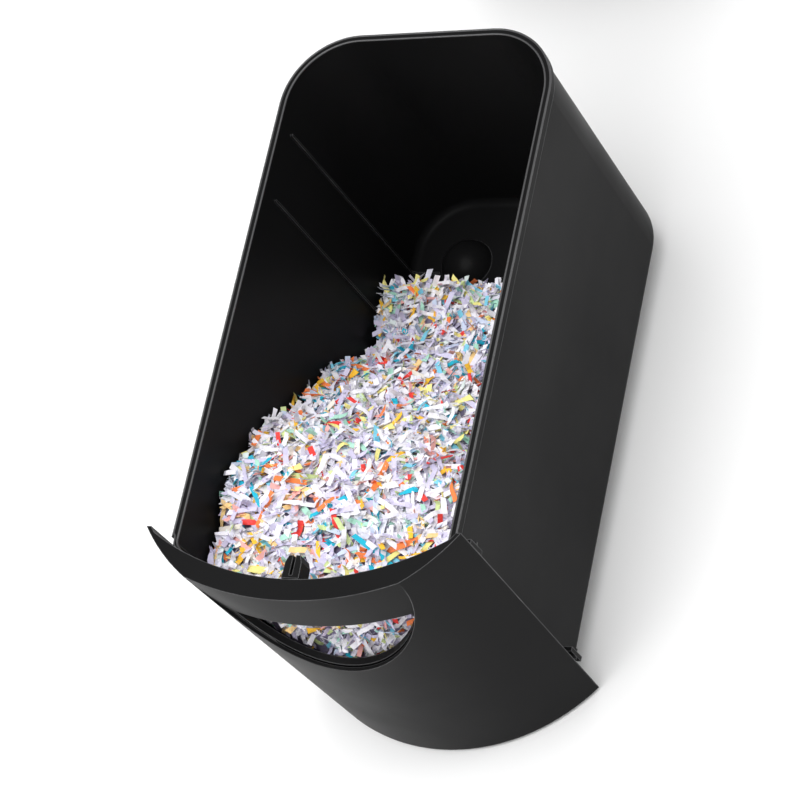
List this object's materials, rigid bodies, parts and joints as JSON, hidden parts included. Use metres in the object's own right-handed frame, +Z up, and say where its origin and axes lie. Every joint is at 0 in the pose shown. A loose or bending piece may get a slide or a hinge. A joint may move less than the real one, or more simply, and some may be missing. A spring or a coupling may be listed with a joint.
{
  "type": "paper shredder",
  "caption": "Slim upright paper shredder with a bowed front; its waste bin, with a hand opening and full of cross-cut paper, stands drawn out on wheels.",
  "frame": {"origin": "centre of the bounding box's footprint, on the floor, with the bin fully drawn out", "axes": "+Z up, -Y the machine's front and the way the bin comes out, +X to the right of someone facing the front"},
  "size_m": [0.2, 0.9206, 0.3734],
  "materials": {
    "black_moulding": "satin moulded, fine grain",
    "dark_moulding": "satin",
    "panel_black": "gloss",
    "grey_control": "satin",
    "pale_gear": "satin",
    "red_plunger": "satin",
    "white_lever": "satin",
    "lens": "translucent",
    "steel": "brushed",
    "cutter_steel": "ground, lightly oiled",
    "oxide_steel": "black oxide",
    "brass": "plain",
    "rubber": "matt",
    "board": "lacquered",
    "components": "mixed",
    "motor_steel": "zinc plated",
    "paper": "uncoated, printed in places"
  },
  "bodies": {
    "cabinet": {"cabinet_shell": "black_moulding", "base_frame": "dark_moulding", "rubber_feet": "rubber", "head_base": "black_moulding", "head_cover": "black_moulding", "feed_throat": "dark_moulding", "control_panel": "panel_black", "panel_board": "board", "panel_switches": "components", "status_lenses": "lens", "front_bearing_plate": "steel", "rear_bearing_plate": "steel", "tie_rods": "steel", "shaft_bushes": "brass", "left_comb": "dark_moulding", "right_comb": "dark_moulding", "gearbox_plate": "steel", "gearbox_posts": "steel", "idler_pin": "steel", "motor_can": "motor_steel", "circuit_board": "board", "board_components": "components", "interlock_switch": "dark_moulding", "paper_sensor": "dark_moulding", "mains_inlet": "dark_moulding", "inlet_pins": "brass", "cover_screws": "steel", "block_screws": "steel", "button_spring": "steel"},
    "bin": {"bin_tub": "black_moulding", "bin_fascia": "black_moulding", "interlock_key": "black_moulding", "fascia_screws": "oxide_steel", "front_glides": "dark_moulding", "wheel_brackets": "dark_moulding", "wheel_pins": "steel", "paper_shreds": "paper"},
    "left_wheel": {"left_bin_wheel": "dark_moulding"},
    "right_wheel": {"right_bin_wheel": "dark_moulding"},
    "left_cutter": {"left_shaft": "steel", "left_cutters": "cutter_steel", "left_shaft_gear": "steel", "drive_gear": "pale_gear"},
    "right_cutter": {"right_shaft": "steel", "right_cutters": "cutter_steel", "right_shaft_gear": "steel"},
    "idler": {"idler_gear": "pale_gear"},
    "rotor": {"motor_shaft": "steel", "motor_pinion": "brass", "motor_fan": "dark_moulding"},
    "slider": {"mode_slider": "grey_control"},
    "button": {"reverse_button": "grey_control"},
    "lever": {"paper_lever": "white_lever"},
    "plunger": {"interlock_plunger": "red_plunger"}
  },
  "joints": [
    {"name": "bin_slide", "type": "slide", "parent": "cabinet", "child": "bin", "axis": [0, 1, 0], "range_m": [0, 0.52]},
    {"name": "left_wheel_spin", "type": "hinge", "parent": "bin", "child": "left_wheel", "pos_m": [-0.045, -0.1275, 0.012], "axis": [1, 0, 0], "continuous": true},
    {"name": "right_wheel_spin", "type": "hinge", "parent": "bin", "child": "right_wheel", "pos_m": [0.045, -0.1275, 0.012], "axis": [1, 0, 0], "continuous": true},
    {"name": "left_cutter_spin", "type": "hinge", "parent": "cabinet", "child": "left_cutter", "pos_m": [-0.017, 0.2605, 0.288], "axis": [0, 1, 0], "continuous": true},
    {"name": "right_cutter_spin", "type": "hinge", "parent": "cabinet", "child": "right_cutter", "pos_m": [0.017, 0.2605, 0.288], "axis": [0, 1, 0], "continuous": true},
    {"name": "idler_spin", "type": "hinge", "parent": "cabinet", "child": "idler", "pos_m": [0.01863, 0.3905, 0.26305], "axis": [0, 1, 0], "continuous": true},
    {"name": "motor_spin", "type": "hinge", "parent": "cabinet", "child": "rotor", "pos_m": [0.03363, 0.4105, 0.28903], "axis": [0, 1, 0], "continuous": true},
    {"name": "mode_slide", "type": "slide", "parent": "cabinet", "child": "slider", "axis": [1, 0, 0], "range_m": [-0.006, 0.006]},
    {"name": "reverse_press", "type": "slide", "parent": "cabinet", "child": "button", "axis": [0, 0, -1], "range_m": [0, 0.002], "stiffness_N_per_m": 400, "deforming": ["button_spring"]},
    {"name": "lever_swing", "type": "hinge", "parent": "cabinet", "child": "lever", "pos_m": [0.012, 0.256, 0.348], "axis": [0, -1, 0], "range_deg": [0, 40], "stiffness_Nm_per_rad": 0.01, "springref_deg": -5.73},
    {"name": "plunger_press", "type": "slide", "parent": "cabinet", "child": "plunger", "axis": [0, 0, 1], "range_m": [0, 0.002], "stiffness_N_per_m": 150, "springref_m": -0.002}
  ],
  "couplings": [
    {"joint": "right_cutter_spin", "follows": "left_cutter_spin", "ratio": -1},
    {"joint": "idler_spin", "follows": "left_cutter_spin", "ratio": -3.1429},
    {"joint": "motor_spin", "follows": "left_cutter_spin", "ratio": 12.571}
  ]
}
